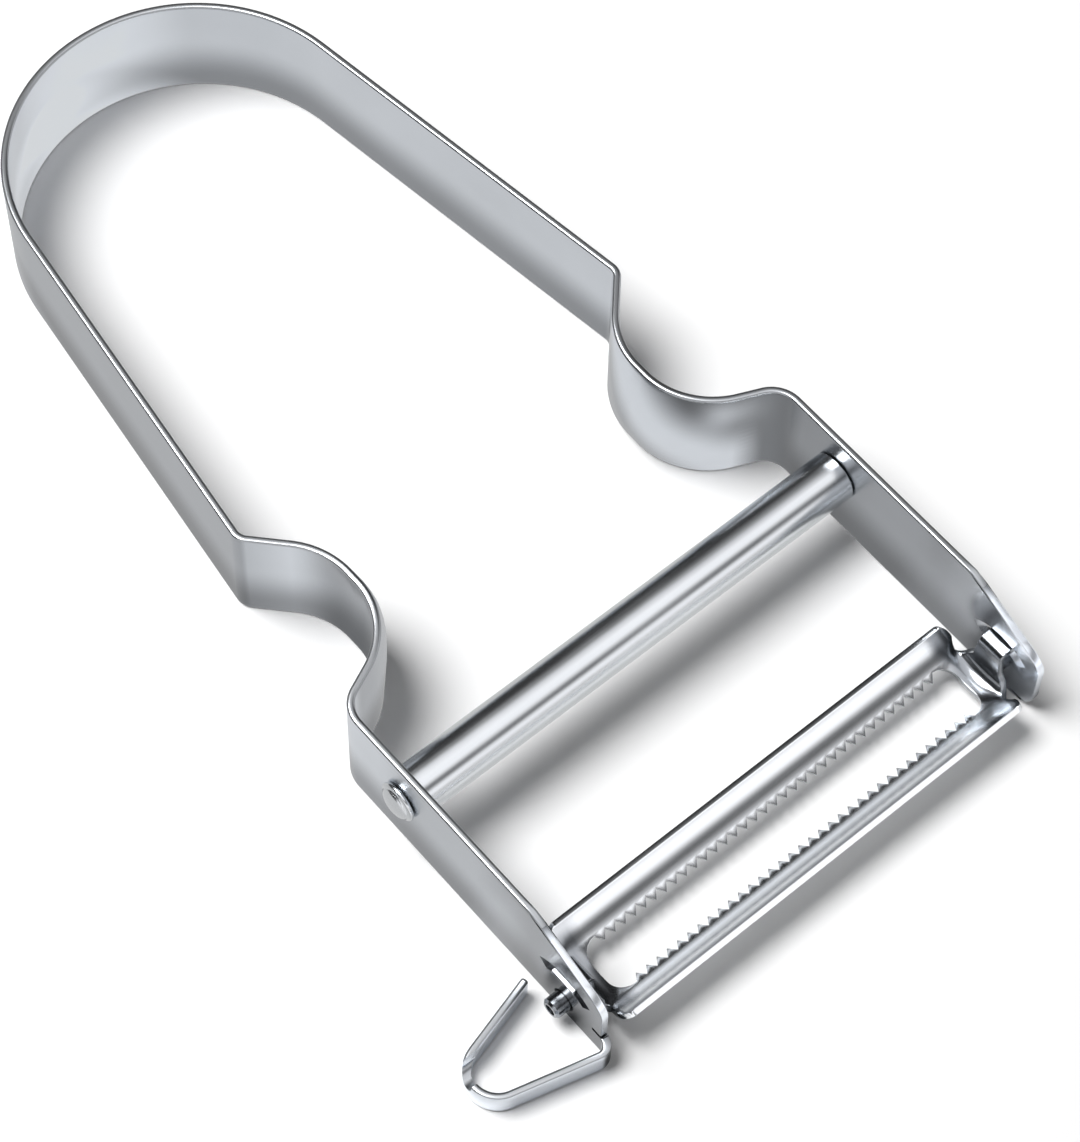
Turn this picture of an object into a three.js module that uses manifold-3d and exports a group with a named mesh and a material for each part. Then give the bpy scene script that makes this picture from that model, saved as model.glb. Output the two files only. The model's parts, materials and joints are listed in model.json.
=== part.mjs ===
// A Y-shaped kitchen peeler: a bent steel strip, a riveted crossbar and a toothed blade that swings.
// Millimetres, +Z up. The peeler lies on the strip's lower edge, with its handle towards +Y and its
// blade towards -Y. While it is being drawn, x = 0 is the plane midway between the arms, y = 0 is the
// centre of the handle's bend, and z = 0 is the lower edge.
import * as THREE from 'three';
import { mergeVertices } from 'three/addons/utils/BufferGeometryUtils.js';
import Module from 'manifold-3d';

const degrees = THREE.MathUtils.degToRad;

// The strip that the bow is bent from
const STRIP_WIDTH = 13;
const STRIP_THICKNESS = 0.8;
const STRIP_EDGE_RADIUS = 0.15;

// The handle, seen from above
const BEND_RADIUS = 18.6;
const HANDLE_STRAIGHT = 40.3;

// The waist where finger and thumb hold the bow
const KINK_INSET = 3.56;
const KINK_RADIUS = 1.6;
const KINK_LEG_ANGLE = degrees(43);
const NOTCH_RADIUS = 8.4;
const NOTCH_FLAT = 1.4;
const SHOULDER_ANGLE = degrees(66);
const SHOULDER_RUN = 2.54;
const SHOULDER_RADIUS = 3.2;

// The two parallel arms and their sloping tips
const ARM_HALF_SPAN = 27.2;
const ARM_LENGTH = 34.95;
const TIP_SLOPE_RUN = 8;
const TIP_SLOPE_DROP = 3.7;
const TIP_NOSE_LENGTH = 2.2;
const TIP_NOSE_DROP = 2.4;
const TIP_BOTTOM_RADIUS = 1.8;

// The crossbar: a turned rod with a tenon peened over at each end
const BAR_FROM_SHOULDER = 6.55;
const BAR_HEIGHT = 7.6;
const BAR_RADIUS = 2.65;
const BAR_EDGE = 0.3;
const TENON_RADIUS = 1.4;
const RIVET_COLLAR_RADIUS = 2.15;
const RIVET_COLLAR_HEIGHT = 0.5;
const RIVET_CAP_RADIUS = 1.8;
const RIVET_CAP_HEIGHT = 0.7;
const SEAT_CLEARANCE = 0.1;

// The blade: a sheet rolled to a shallow gutter, with a toothed slot along its bottom
const BLADE_SHEET = 0.6;
const BLADE_WIDTH = 11.5;
const GUTTER_RADIUS = 7.1;
const BLADE_END_GAP = 1.7;
const BLADE_CORNER_RADIUS = 1.2;
const BLADE_WEB = 2;
const SLOT_ROOT_HALF_WIDTH = 3.1;
const SLOT_END_RADIUS = 1.8;
const TOOTH_PITCH = 1.25;
const TOOTH_DEPTH = 0.9;

// The hinge: a rolled journal in a round hole, and a stop lug above it in a curved window
const HINGE_FROM_TIP = 5.15;
const BLADE_FLOOR_GAP = 1.4;
const BLADE_SWING = degrees(18);
const JOURNAL_RADIUS = 1.1;
const JOURNAL_SINK = 0.15;
const JOURNAL_ROOT = 1.5;
const JOURNAL_REACH = 1.65;
const JOURNAL_EDGE = 0.25;
const JOURNAL_CLEARANCE = 0.2;
const NECK_WIDTH = 4.6;
const EAR_WIDTH = 3;
const EAR_BEND_RADIUS = 0.6;
const EAR_SIDE_GAP = 0.9;
const LUG_HEIGHT = 4.3;
const LUG_REACH = 0.8;
const LUG_CLEARANCE = 0.3;

// The eye remover: a narrow tab of the left arm, bent out into a loop
const LOOP_HEIGHT = 2.9;
const LOOP_ROOT_RADIUS = 1.2;
const LOOP_FRONT_LEG = 8.8;
const LOOP_FRONT_RAKE = degrees(15.4);
const LOOP_NOSE_RADIUS = 2.85;
const LOOP_REAR_RAKE = degrees(15);
const LOOP_END_GAP = 1.4;
const LOOP_RELIEF_HEIGHT = 0.5;
const LOOP_RELIEF_DEPTH = 1.2;

// Fineness of the facets, and how far a cutting shape runs past what it cuts
const ARC_TOLERANCE = 0.012;
const ARC_SIDES = 24;
const CORNER_SIDES = 6;
const BAR_SIDES = 40;
const JOURNAL_SIDES = 24;
const DOME_STEPS = 5;
const EDGE_STEPS = 2;
const MERGE_DISTANCE = 1e-5;
const CUT_MARGIN = 2;

const wasm = await Module();
wasm.setup();

// Lists the stations of a path made of straight runs and bends. A positive turn bends to the left.
function bendPath(start, heading, legs, thickness) {
  const stations = [{ ...start, heading }];
  let { x, y } = start;
  for (const { run = 0, turn = 0, radius = 0 } of legs) {
    const finest = 2 * Math.acos(1 - ARC_TOLERANCE / (radius + thickness / 2));
    const steps = turn === 0 ? 1 : Math.ceil(Math.abs(turn) / finest);
    const chord = turn === 0 ? run : 2 * radius * Math.sin(Math.abs(turn) / steps / 2);
    for (let step = 0; step < steps; step += 1) {
      const aim = heading + turn / steps / 2;
      x += chord * Math.cos(aim);
      y += chord * Math.sin(aim);
      heading += turn / steps;
      stations.push({ x, y, heading });
    }
  }
  return stations;
}

// Outlines a strip of even thickness that follows the stations of a path.
function stripShape(stations, thickness) {
  const side = (offset) => stations.map(({ x, y, heading }) => (
    new THREE.Vector2(x - offset * Math.sin(heading), y + offset * Math.cos(heading))
  ));
  return new THREE.Shape([...side(thickness / 2), ...side(-thickness / 2).reverse()]);
}

// Turns a closed geometry into a solid that can be joined and cut.
function toSolid(geometry) {
  const bare = geometry.clone();
  bare.deleteAttribute('normal');
  bare.deleteAttribute('uv');
  const merged = mergeVertices(bare, MERGE_DISTANCE);
  const corners = merged.index.array;
  const triangles = [];
  for (let first = 0; first < corners.length; first += 3) {
    const [a, b, c] = corners.slice(first, first + 3);
    const hasArea = a !== b && b !== c && c !== a;
    if (hasArea) triangles.push(a, b, c);
  }
  return new wasm.Manifold(new wasm.Mesh({
    numProp: 3,
    vertProperties: new Float32Array(merged.attributes.position.array),
    triVerts: new Uint32Array(triangles),
  }));
}

function toGeometry(solid) {
  const { vertProperties, triVerts } = solid.getMesh();
  const geometry = new THREE.BufferGeometry();
  geometry.setAttribute('position', new THREE.BufferAttribute(vertProperties, 3));
  geometry.setIndex(new THREE.BufferAttribute(triVerts, 1));
  geometry.computeVertexNormals();
  return geometry;
}

// Extrudes a shape drawn from above (x, y) upwards, with its edges rounded over if asked.
function raise(shape, from, height, edge = 0) {
  const geometry = new THREE.ExtrudeGeometry(shape, {
    depth: height - 2 * edge,
    bevelEnabled: edge > 0,
    bevelThickness: edge,
    bevelSize: edge,
    bevelOffset: -edge,
    bevelSegments: EDGE_STEPS,
    curveSegments: CORNER_SIDES,
  });
  return toSolid(geometry.translate(0, 0, from + edge));
}

// Extrudes a shape drawn in side view (y, z) along x.
function raiseAlongX(shape, from, length) {
  const geometry = new THREE.ExtrudeGeometry(shape, {
    depth: length,
    bevelEnabled: false,
    curveSegments: ARC_SIDES,
  });
  const turned = new THREE.Matrix4().makeBasis(
    new THREE.Vector3(0, 1, 0),
    new THREE.Vector3(0, 0, 1),
    new THREE.Vector3(1, 0, 0),
  );
  return toSolid(geometry.translate(0, 0, from).applyMatrix4(turned));
}

// Extrudes a shape drawn in front view (x, z) along y, equally to both sides.
function raiseAlongY(shape, length) {
  const geometry = new THREE.ExtrudeGeometry(shape, { depth: length, bevelEnabled: false });
  const turned = new THREE.Matrix4().makeBasis(
    new THREE.Vector3(1, 0, 0),
    new THREE.Vector3(0, 0, 1),
    new THREE.Vector3(0, -1, 0),
  );
  return toSolid(geometry.translate(0, 0, -length / 2).applyMatrix4(turned));
}

// Revolves a profile of [radius, distance along x] about the x axis.
function revolveAlongX(profile, sides, side = 1) {
  const points = profile.map(([radius, along]) => new THREE.Vector2(radius, along));
  return toSolid(new THREE.LatheGeometry(points, sides).rotateZ(-side * Math.PI / 2));
}

// Part of a profile: a dome that closes on the axis, from its rim outwards.
function dome(radius, along, height) {
  return Array.from({ length: DOME_STEPS + 1 }, (_, step) => {
    const angle = step / DOME_STEPS * Math.PI / 2;
    const onAxis = step === DOME_STEPS;
    return [onAxis ? 0 : radius * Math.cos(angle), along + height * Math.sin(angle)];
  });
}

// The right half of the bow's centre line, from the middle of the bend to past the arm's tip
const kinkX = ARM_HALF_SPAN - KINK_INSET;
const handleReach = Math.hypot(BEND_RADIUS, HANDLE_STRAIGHT);
const handleFlare = Math.asin(kinkX / handleReach) - Math.atan2(BEND_RADIUS, HANDLE_STRAIGHT);
const kinkTurn = handleFlare + KINK_LEG_ANGLE;
const kinkTangent = KINK_RADIUS * Math.tan(kinkTurn / 2);
const shoulderArcs = (NOTCH_RADIUS + SHOULDER_RADIUS) * (1 - Math.cos(SHOULDER_ANGLE));
const waistX = ARM_HALF_SPAN - shoulderArcs - SHOULDER_RUN * Math.sin(SHOULDER_ANGLE);
const kinkLeg = (kinkX - waistX) / Math.sin(KINK_LEG_ANGLE);
const notchTangent = NOTCH_RADIUS * Math.tan(KINK_LEG_ANGLE / 2);
const bendMiddle = { x: 0, y: BEND_RADIUS };
const rightHalf = bendPath(bendMiddle, 0, [
  { turn: handleFlare - Math.PI / 2, radius: BEND_RADIUS },
  { run: HANDLE_STRAIGHT - kinkTangent },
  { turn: -kinkTurn, radius: KINK_RADIUS },
  { run: kinkLeg - kinkTangent - notchTangent },
  { turn: KINK_LEG_ANGLE, radius: NOTCH_RADIUS },
  { run: NOTCH_FLAT },
  { turn: SHOULDER_ANGLE, radius: NOTCH_RADIUS },
  { run: SHOULDER_RUN },
  { turn: -SHOULDER_ANGLE, radius: SHOULDER_RADIUS },
  { run: ARM_LENGTH + CUT_MARGIN },
], STRIP_THICKNESS);
const leftHalf = rightHalf.slice(1).reverse().map(({ x, y, heading }) => (
  { x: -x, y, heading: -heading }
));

// Places along the arms, and the two faces of an arm
const armTip = rightHalf.at(-1).y + CUT_MARGIN;
const barAxis = armTip + ARM_LENGTH - BAR_FROM_SHOULDER;
const hingeAxis = armTip + HINGE_FROM_TIP;
const hingeHeight = BLADE_FLOOR_GAP + JOURNAL_SINK + JOURNAL_RADIUS;
const armInside = ARM_HALF_SPAN - STRIP_THICKNESS / 2;
const armOutside = ARM_HALF_SPAN + STRIP_THICKNESS / 2;

// What is left of the bow in side view: a plain band whose front end is an arm's tip
function tipOutline() {
  const slopeStart = armTip + TIP_NOSE_LENGTH + TIP_SLOPE_RUN;
  const slopeEnd = STRIP_WIDTH - TIP_SLOPE_DROP;
  const slopeCorner = slopeEnd - TIP_NOSE_LENGTH * TIP_SLOPE_DROP / TIP_SLOPE_RUN;
  const runOut = -STRIP_EDGE_RADIUS;
  const back = BEND_RADIUS + STRIP_THICKNESS + CUT_MARGIN;
  const outline = new THREE.Shape();
  outline.moveTo(back, -CUT_MARGIN);
  outline.lineTo(back, STRIP_WIDTH + CUT_MARGIN);
  outline.lineTo(slopeStart, STRIP_WIDTH + CUT_MARGIN);
  outline.lineTo(slopeStart, STRIP_WIDTH);
  outline.lineTo(armTip + TIP_NOSE_LENGTH, slopeEnd);
  outline.quadraticCurveTo(armTip, slopeCorner, armTip, slopeEnd - TIP_NOSE_DROP);
  outline.lineTo(armTip, TIP_BOTTOM_RADIUS);
  outline.quadraticCurveTo(armTip, runOut, armTip + TIP_BOTTOM_RADIUS, runOut);
  outline.lineTo(armTip + TIP_BOTTOM_RADIUS, -CUT_MARGIN);
  return outline;
}

// The window that the stop lug sweeps, an arc round the hinge axis
function stopWindow() {
  const lugBottom = LUG_HEIGHT - BLADE_SHEET / 2;
  const lugTop = LUG_HEIGHT + BLADE_SHEET / 2;
  const inner = lugBottom - LUG_CLEARANCE;
  const outer = Math.hypot(EAR_WIDTH / 2, lugTop) + LUG_CLEARANCE;
  const reach = Math.atan2(EAR_WIDTH / 2, lugBottom) + BLADE_SWING + LUG_CLEARANCE / lugBottom;
  const first = Math.PI / 2 - reach;
  const last = Math.PI / 2 + reach;
  const window = new THREE.Shape();
  window.absarc(hingeAxis, hingeHeight, outer, first, last, false);
  window.absarc(hingeAxis, hingeHeight, inner, last, first, true);
  return window;
}

function roundHole(y, z, radius) {
  const hole = new THREE.Shape();
  hole.absarc(y, z, radius, 0, Math.PI * 2, false);
  return hole;
}

// The slit that frees the eye remover from the arm above it
function loopRelief() {
  const front = armTip - CUT_MARGIN;
  const back = armTip + LOOP_RELIEF_DEPTH;
  const radius = LOOP_RELIEF_HEIGHT / 2;
  const relief = new THREE.Shape();
  relief.moveTo(front, LOOP_HEIGHT);
  relief.lineTo(back - radius, LOOP_HEIGHT);
  relief.absarc(back - radius, LOOP_HEIGHT + radius, radius, -Math.PI / 2, Math.PI / 2, false);
  relief.lineTo(front, LOOP_HEIGHT + LOOP_RELIEF_HEIGHT);
  return relief;
}

// The eye remover's centre line: out of the left arm's tip, round the nose and back to the arm
function loopStations() {
  const start = { x: -ARM_HALF_SPAN, y: armTip + TIP_BOTTOM_RADIUS + CUT_MARGIN };
  const forwards = -Math.PI / 2;
  const legs = [
    { run: TIP_BOTTOM_RADIUS + CUT_MARGIN },
    { turn: forwards - LOOP_FRONT_RAKE, radius: LOOP_ROOT_RADIUS },
    { run: LOOP_FRONT_LEG },
    { turn: LOOP_FRONT_RAKE + LOOP_REAR_RAKE - Math.PI, radius: LOOP_NOSE_RADIUS },
  ];
  const nose = bendPath(start, forwards, legs, STRIP_THICKNESS).at(-1);
  const rearLeg = (-armOutside - LOOP_END_GAP - nose.x) / Math.cos(LOOP_REAR_RAKE);
  return bendPath(start, forwards, [...legs, { run: rearLeg }], STRIP_THICKNESS);
}

function makeBow() {
  const reach = armOutside + CUT_MARGIN;
  const acrossBoth = (shape) => raiseAlongX(shape, -reach, 2 * reach);
  const acrossLeft = (shape) => raiseAlongX(shape, -reach, reach);
  const bent = stripShape([...leftHalf, ...rightHalf], STRIP_THICKNESS);
  const loop = stripShape(loopStations(), STRIP_THICKNESS);
  return raise(bent, 0, STRIP_WIDTH, STRIP_EDGE_RADIUS)
    .intersect(acrossBoth(tipOutline()))
    .add(raise(loop, 0, LOOP_HEIGHT, STRIP_EDGE_RADIUS))
    .subtract(acrossLeft(loopRelief()))
    .subtract(acrossBoth(roundHole(barAxis, BAR_HEIGHT, TENON_RADIUS + SEAT_CLEARANCE)))
    .subtract(acrossBoth(roundHole(hingeAxis, hingeHeight, JOURNAL_RADIUS + JOURNAL_CLEARANCE)))
    .subtract(acrossBoth(stopWindow()));
}

// The crossbar is drawn about its own axis.
function makeCrossbar() {
  const shoulder = armInside - SEAT_CLEARANCE;
  const collar = armOutside + SEAT_CLEARANCE;
  const cap = collar + RIVET_COLLAR_HEIGHT;
  const rightEnd = [
    [BAR_RADIUS, shoulder - BAR_EDGE],
    [BAR_RADIUS - BAR_EDGE, shoulder],
    [TENON_RADIUS, shoulder],
    [TENON_RADIUS, collar],
    [RIVET_COLLAR_RADIUS, collar],
    [RIVET_COLLAR_RADIUS, cap],
    ...dome(RIVET_CAP_RADIUS, cap, RIVET_CAP_HEIGHT),
  ];
  const leftEnd = rightEnd.map(([radius, along]) => [radius, -along]).reverse();
  return revolveAlongX([...leftEnd, ...rightEnd], BAR_SIDES);
}

// The blade is drawn about its hinge axis. Its journals are sunk a little into its sheet.
const bladeHalfLength = armInside - BLADE_END_GAP;
const slotHalfLength = bladeHalfLength - BLADE_WEB;
const gutterAngle = Math.asin(BLADE_WIDTH / 2 / GUTTER_RADIUS);
const gutterBottom = BLADE_SHEET / 2 - JOURNAL_SINK - JOURNAL_RADIUS;
const earMiddle = armInside - EAR_SIDE_GAP - BLADE_SHEET / 2;

// Section across the blade, in side view
function gutterSection() {
  const start = {
    x: -GUTTER_RADIUS * Math.sin(gutterAngle),
    y: gutterBottom + GUTTER_RADIUS * (1 - Math.cos(gutterAngle)),
  };
  const legs = [{ turn: 2 * gutterAngle, radius: GUTTER_RADIUS }];
  return stripShape(bendPath(start, -gutterAngle, legs, BLADE_SHEET), BLADE_SHEET);
}

// The slot from above, anticlockwise: each turn draws one end and the row of teeth that follows it
function toothedSlot() {
  const endX = slotHalfLength - SLOT_END_RADIUS;
  const toothCount = Math.floor(2 * endX / TOOTH_PITCH);
  const row = toothCount * TOOTH_PITCH;
  const endY = SLOT_ROOT_HALF_WIDTH - SLOT_END_RADIUS;
  const quarter = Math.PI / 2;
  const slot = new THREE.Path();
  for (const side of [1, -1]) {
    const turned = side > 0 ? 0 : Math.PI;
    slot.absarc(side * endX, -side * endY, SLOT_END_RADIUS, turned - quarter, turned, false);
    slot.absarc(side * endX, side * endY, SLOT_END_RADIUS, turned, turned + quarter, false);
    slot.lineTo(side * row / 2, side * SLOT_ROOT_HALF_WIDTH);
    for (let tooth = 0; tooth < toothCount; tooth += 1) {
      const tip = row / 2 - (tooth + 0.5) * TOOTH_PITCH;
      const root = row / 2 - (tooth + 1) * TOOTH_PITCH;
      slot.lineTo(side * tip, side * (SLOT_ROOT_HALF_WIDTH - TOOTH_DEPTH));
      slot.lineTo(side * root, side * SLOT_ROOT_HALF_WIDTH);
    }
  }
  return slot;
}

// The blade from above: round corners, and a neck at each end that carries the ear and the journal
function bladePlan() {
  const endX = bladeHalfLength - BLADE_CORNER_RADIUS;
  const sideY = (GUTTER_RADIUS + BLADE_SHEET / 2) * Math.sin(gutterAngle);
  const cornerY = sideY - BLADE_CORNER_RADIUS;
  const neckX = earMiddle + BLADE_SHEET;
  const quarter = Math.PI / 2;
  const plan = new THREE.Shape();
  for (const side of [1, -1]) {
    const turned = side > 0 ? 0 : Math.PI;
    plan.absarc(side * endX, -side * cornerY, BLADE_CORNER_RADIUS, turned - quarter, turned, false);
    plan.lineTo(side * bladeHalfLength, -side * NECK_WIDTH / 2);
    plan.lineTo(side * neckX, -side * NECK_WIDTH / 2);
    plan.lineTo(side * neckX, side * NECK_WIDTH / 2);
    plan.lineTo(side * bladeHalfLength, side * NECK_WIDTH / 2);
    plan.absarc(side * endX, side * cornerY, BLADE_CORNER_RADIUS, turned, turned + quarter, false);
  }
  plan.holes.push(toothedSlot());
  return plan;
}

// An ear stands up from the neck and bends out through the arm's window as the stop lug.
function makeEar(side) {
  const start = { x: side * earMiddle, y: gutterBottom };
  const lugOut = armOutside + LUG_REACH - earMiddle - EAR_BEND_RADIUS;
  const stations = bendPath(start, Math.PI / 2, [
    { run: LUG_HEIGHT - gutterBottom - EAR_BEND_RADIUS },
    { turn: -side * Math.PI / 2, radius: EAR_BEND_RADIUS },
    { run: lugOut },
  ], BLADE_SHEET);
  return raiseAlongY(stripShape(stations, BLADE_SHEET), EAR_WIDTH);
}

// A journal starts as a dome on the blade's web and runs out through the arm's round hole.
function makeJournal(side) {
  const root = bladeHalfLength - JOURNAL_ROOT;
  const end = armOutside + JOURNAL_REACH;
  const profile = [
    ...dome(JOURNAL_RADIUS, root + JOURNAL_RADIUS, -JOURNAL_RADIUS).reverse(),
    [JOURNAL_RADIUS, end - JOURNAL_EDGE],
    [JOURNAL_RADIUS - JOURNAL_EDGE, end],
    [0, end],
  ];
  return revolveAlongX(profile, JOURNAL_SIDES, side);
}

function makeBlade() {
  const rise = GUTTER_RADIUS + BLADE_SHEET;
  const reach = earMiddle + CUT_MARGIN;
  const gutter = raiseAlongX(gutterSection(), -reach, 2 * reach);
  const plan = raise(bladePlan(), gutterBottom - rise, 2 * rise);
  return gutter
    .intersect(plan)
    .add(makeEar(1))
    .add(makeEar(-1))
    .add(makeJournal(1))
    .add(makeJournal(-1));
}

// Finishes: a satin strip, a polished bar and a bright blade
const satinSteel = new THREE.MeshStandardMaterial({ color: 0xb6babd, metalness: 1, roughness: 0.3 });
const polishedSteel = new THREE.MeshStandardMaterial({ color: 0xc9cdd0, metalness: 1, roughness: 0.08 });
const bladeSteel = new THREE.MeshStandardMaterial({ color: 0xc2c6ca, metalness: 1, roughness: 0.12 });

function addPiece(group, name, solid, material, y = 0, z = 0) {
  const mesh = new THREE.Mesh(toGeometry(solid), material);
  mesh.name = name;
  mesh.position.set(0, y, z);
  group.add(mesh);
}

const peeler = new THREE.Group();
addPiece(peeler, 'bow_frame', makeBow(), satinSteel);
addPiece(peeler, 'crossbar', makeCrossbar(), polishedSteel, barAxis, BAR_HEIGHT);
addPiece(peeler, 'blade', makeBlade(), bladeSteel, hingeAxis, hingeHeight);

// The origin is on the surface that the peeler lies on, under the middle of its bounding box.
const box = new THREE.Box3().setFromObject(peeler);
const middle = box.getCenter(new THREE.Vector3());
peeler.position.set(-middle.x, -middle.y, -box.min.z);
peeler.updateMatrixWorld(true);

export default peeler;
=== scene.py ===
# %% [markdown]
# # A serrated peeler in bright steel
# The real peeler has three pieces: a strip bent into a bow, a rod riveted across it, and a toothed blade
# that swings in the arms' tips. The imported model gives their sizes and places. Its solids are faceted,
# and polished steel shows every facet, so each piece is modelled again here with a fine, smooth skin.

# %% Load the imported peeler
import json
import math

import bmesh
import bpy
import numpy as np
from mathutils import Matrix, Vector


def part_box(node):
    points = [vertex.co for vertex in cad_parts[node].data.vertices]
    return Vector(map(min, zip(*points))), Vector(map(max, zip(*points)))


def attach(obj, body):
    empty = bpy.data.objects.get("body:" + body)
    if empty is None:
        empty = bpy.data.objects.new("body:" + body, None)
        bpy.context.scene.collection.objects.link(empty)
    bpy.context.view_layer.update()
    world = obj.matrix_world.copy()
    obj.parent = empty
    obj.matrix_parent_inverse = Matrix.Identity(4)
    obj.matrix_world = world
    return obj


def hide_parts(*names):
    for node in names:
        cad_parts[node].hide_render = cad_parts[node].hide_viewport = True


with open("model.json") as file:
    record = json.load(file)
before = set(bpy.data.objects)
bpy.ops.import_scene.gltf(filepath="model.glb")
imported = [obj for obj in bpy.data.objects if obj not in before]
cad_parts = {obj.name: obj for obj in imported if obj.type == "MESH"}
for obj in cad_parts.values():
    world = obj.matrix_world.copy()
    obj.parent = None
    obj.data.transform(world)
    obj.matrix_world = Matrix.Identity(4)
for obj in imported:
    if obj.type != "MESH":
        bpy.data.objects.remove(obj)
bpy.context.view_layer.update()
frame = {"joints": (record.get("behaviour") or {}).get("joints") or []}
bpy.context.scene.view_settings.view_transform = "Standard"
MM = 0.001
NEAR = 0.01 * MM
TINY = 0.001 * MM

# %% [markdown]
# ## Hands
# Most of the work below is a few moves made again and again: take up a piece, open it for editing, and pick
# some of its points, edges or faces by their place. These helpers are those moves. An operator acts on all
# that is selected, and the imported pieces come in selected, so everything is put down first.

# %% Take up, open and pick
def put_down_everything():
    if bpy.context.object and bpy.context.object.mode != "OBJECT":
        bpy.ops.object.mode_set(mode="OBJECT")
    bpy.ops.object.select_all(action="DESELECT")


def take_up(piece):
    put_down_everything()
    piece.select_set(True)
    bpy.context.view_layer.objects.active = piece


def open_up(piece):
    take_up(piece)
    bpy.ops.object.mode_set(mode="EDIT")


def pick(piece, wanted, kind="VERT"):
    bpy.ops.mesh.select_mode(type=kind)
    bpy.ops.mesh.select_all(action="DESELECT")
    mesh = bmesh.from_edit_mesh(piece.data)
    parts = {"VERT": mesh.verts, "EDGE": mesh.edges, "FACE": mesh.faces}[kind]
    for part in parts:
        if wanted(part):
            part.select_set(True)
    mesh.select_flush_mode()
    bmesh.update_edit_mesh(piece.data)


put_down_everything()
print("pieces still selected:", len(bpy.context.selected_objects))

# %% [markdown]
# ## The strip's end
# The bow is one strip, 13 mm wide and 0.8 mm thick. A sheet-metal worker would draw its centre line and
# bend along it, and so does this model: one upright row of points, the strip's edge-on end, is drawn out
# in straight runs and spun round in bends. A grid is the start, and only one column of it is kept.

# %% Stand the strip's end at the middle of the handle's bend
STRIP_WIDTH = 13 * MM
STRIP_THICKNESS = 0.8 * MM
STRIP_ROWS = 18
BEND_RADIUS = 18.6 * MM

bar_low, bar_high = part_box("crossbar")
bow_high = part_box("bow_frame")[1]
middle_x = (bar_low.x + bar_high.x) / 2
bend_y = bow_high.y - BEND_RADIUS - STRIP_THICKNESS / 2

put_down_everything()
bpy.ops.mesh.primitive_grid_add(
    x_subdivisions=STRIP_ROWS, y_subdivisions=1, size=STRIP_WIDTH,
    location=(middle_x, bend_y + BEND_RADIUS, STRIP_WIDTH / 2), rotation=(0, math.pi / 2, 0))
bow = bpy.context.object
bow.name = "bow"
bpy.ops.object.transform_apply(location=False, rotation=True, scale=True)
bpy.context.scene.cursor.location = (middle_x, 0, 0)
bpy.ops.object.origin_set(type="ORIGIN_CURSOR")
open_up(bow)
pick(bow, lambda point: point.co.y < bend_y + BEND_RADIUS)
bpy.ops.mesh.delete(type="VERT")
bpy.ops.mesh.select_all(action="SELECT")
bpy.ops.transform.translate(value=(0, -STRIP_WIDTH / 2, 0))
print("points in the strip's end:", len(bmesh.from_edit_mesh(bow.data).verts))

# %% [markdown]
# ## Bending the handle
# A path keeps a place and a heading, like a turtle. A straight run extrudes the last row of points, and a
# bend spins it about a centre to one side. The bends get many steps, because a polished bend shows the
# room as one smooth sweep. The handle's bend comes first, and then the straight that flares to the kink.

# %% Bend the right half of the handle
def start_path(at, along, left, heading=0.0):
    return {"at": Vector(at), "along": Vector(along), "left": Vector(left), "heading": heading}


def facing(path, angle=0.0):
    turned = path["heading"] + angle
    return path["along"] * math.cos(turned) + path["left"] * math.sin(turned)


def run_straight(path, length, steps=1):
    step = facing(path) * length / steps
    for _ in range(steps):
        bpy.ops.mesh.extrude_region_move(TRANSFORM_OT_translate={"value": step})
        path["at"] += step


def bend_round(path, turn, radius, steps):
    side = math.copysign(1, turn)
    centre = path["at"] + facing(path, side * math.pi / 2) * radius
    axis = path["along"].cross(path["left"])
    bpy.ops.mesh.spin(steps=steps, angle=-turn, center=centre, axis=axis)
    path["heading"] += turn
    path["at"] = centre + facing(path, -side * math.pi / 2) * radius


BEND_STEPS = 64
HANDLE_STRAIGHT = 40.3 * MM
ARM_HALF_SPAN = 27.2 * MM
KINK_INSET = 3.56 * MM
KINK_RADIUS = 1.6 * MM
KINK_STEPS = 16
KINK_LEG_ANGLE = math.radians(43)

kink_x = ARM_HALF_SPAN - KINK_INSET
handle_reach = math.hypot(BEND_RADIUS, HANDLE_STRAIGHT)
handle_flare = math.asin(kink_x / handle_reach) - math.atan2(BEND_RADIUS, HANDLE_STRAIGHT)
kink_turn = handle_flare + KINK_LEG_ANGLE
kink_tangent = KINK_RADIUS * math.tan(kink_turn / 2)

strip = start_path((middle_x, bend_y + BEND_RADIUS, 0), (1, 0, 0), (0, 1, 0))
bend_round(strip, handle_flare - math.pi / 2, BEND_RADIUS, BEND_STEPS)
run_straight(strip, HANDLE_STRAIGHT - kink_tangent)
bend_round(strip, -kink_turn, KINK_RADIUS, KINK_STEPS)
print("end of the kink in mm:", [round(value / MM, 3) for value in strip["at"]])

# %% [markdown]
# ## The notch, the shoulder and the arm
# After the kink the strip swings in to the waist, where a finger sits, and out over a shoulder to the arm.
# How far in the waist lies follows from the arm's place, the radii and the angles. The arm gets many rows,
# so that its holes later cut only small faces.

# %% Bend the notch and run out the arm
NOTCH_RADIUS = 8.4 * MM
NOTCH_ENTRY_STEPS = 24
NOTCH_FLAT = 1.4 * MM
NOTCH_EXIT_STEPS = 36
SHOULDER_ANGLE = math.radians(66)
SHOULDER_RUN = 2.54 * MM
SHOULDER_RADIUS = 3.2 * MM
SHOULDER_STEPS = 24
ARM_LENGTH = 34.95 * MM
ARM_STEPS = 24

shoulder_arcs = (NOTCH_RADIUS + SHOULDER_RADIUS) * (1 - math.cos(SHOULDER_ANGLE))
waist_x = ARM_HALF_SPAN - shoulder_arcs - SHOULDER_RUN * math.sin(SHOULDER_ANGLE)
kink_leg = (kink_x - waist_x) / math.sin(KINK_LEG_ANGLE)
notch_tangent = NOTCH_RADIUS * math.tan(KINK_LEG_ANGLE / 2)

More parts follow.
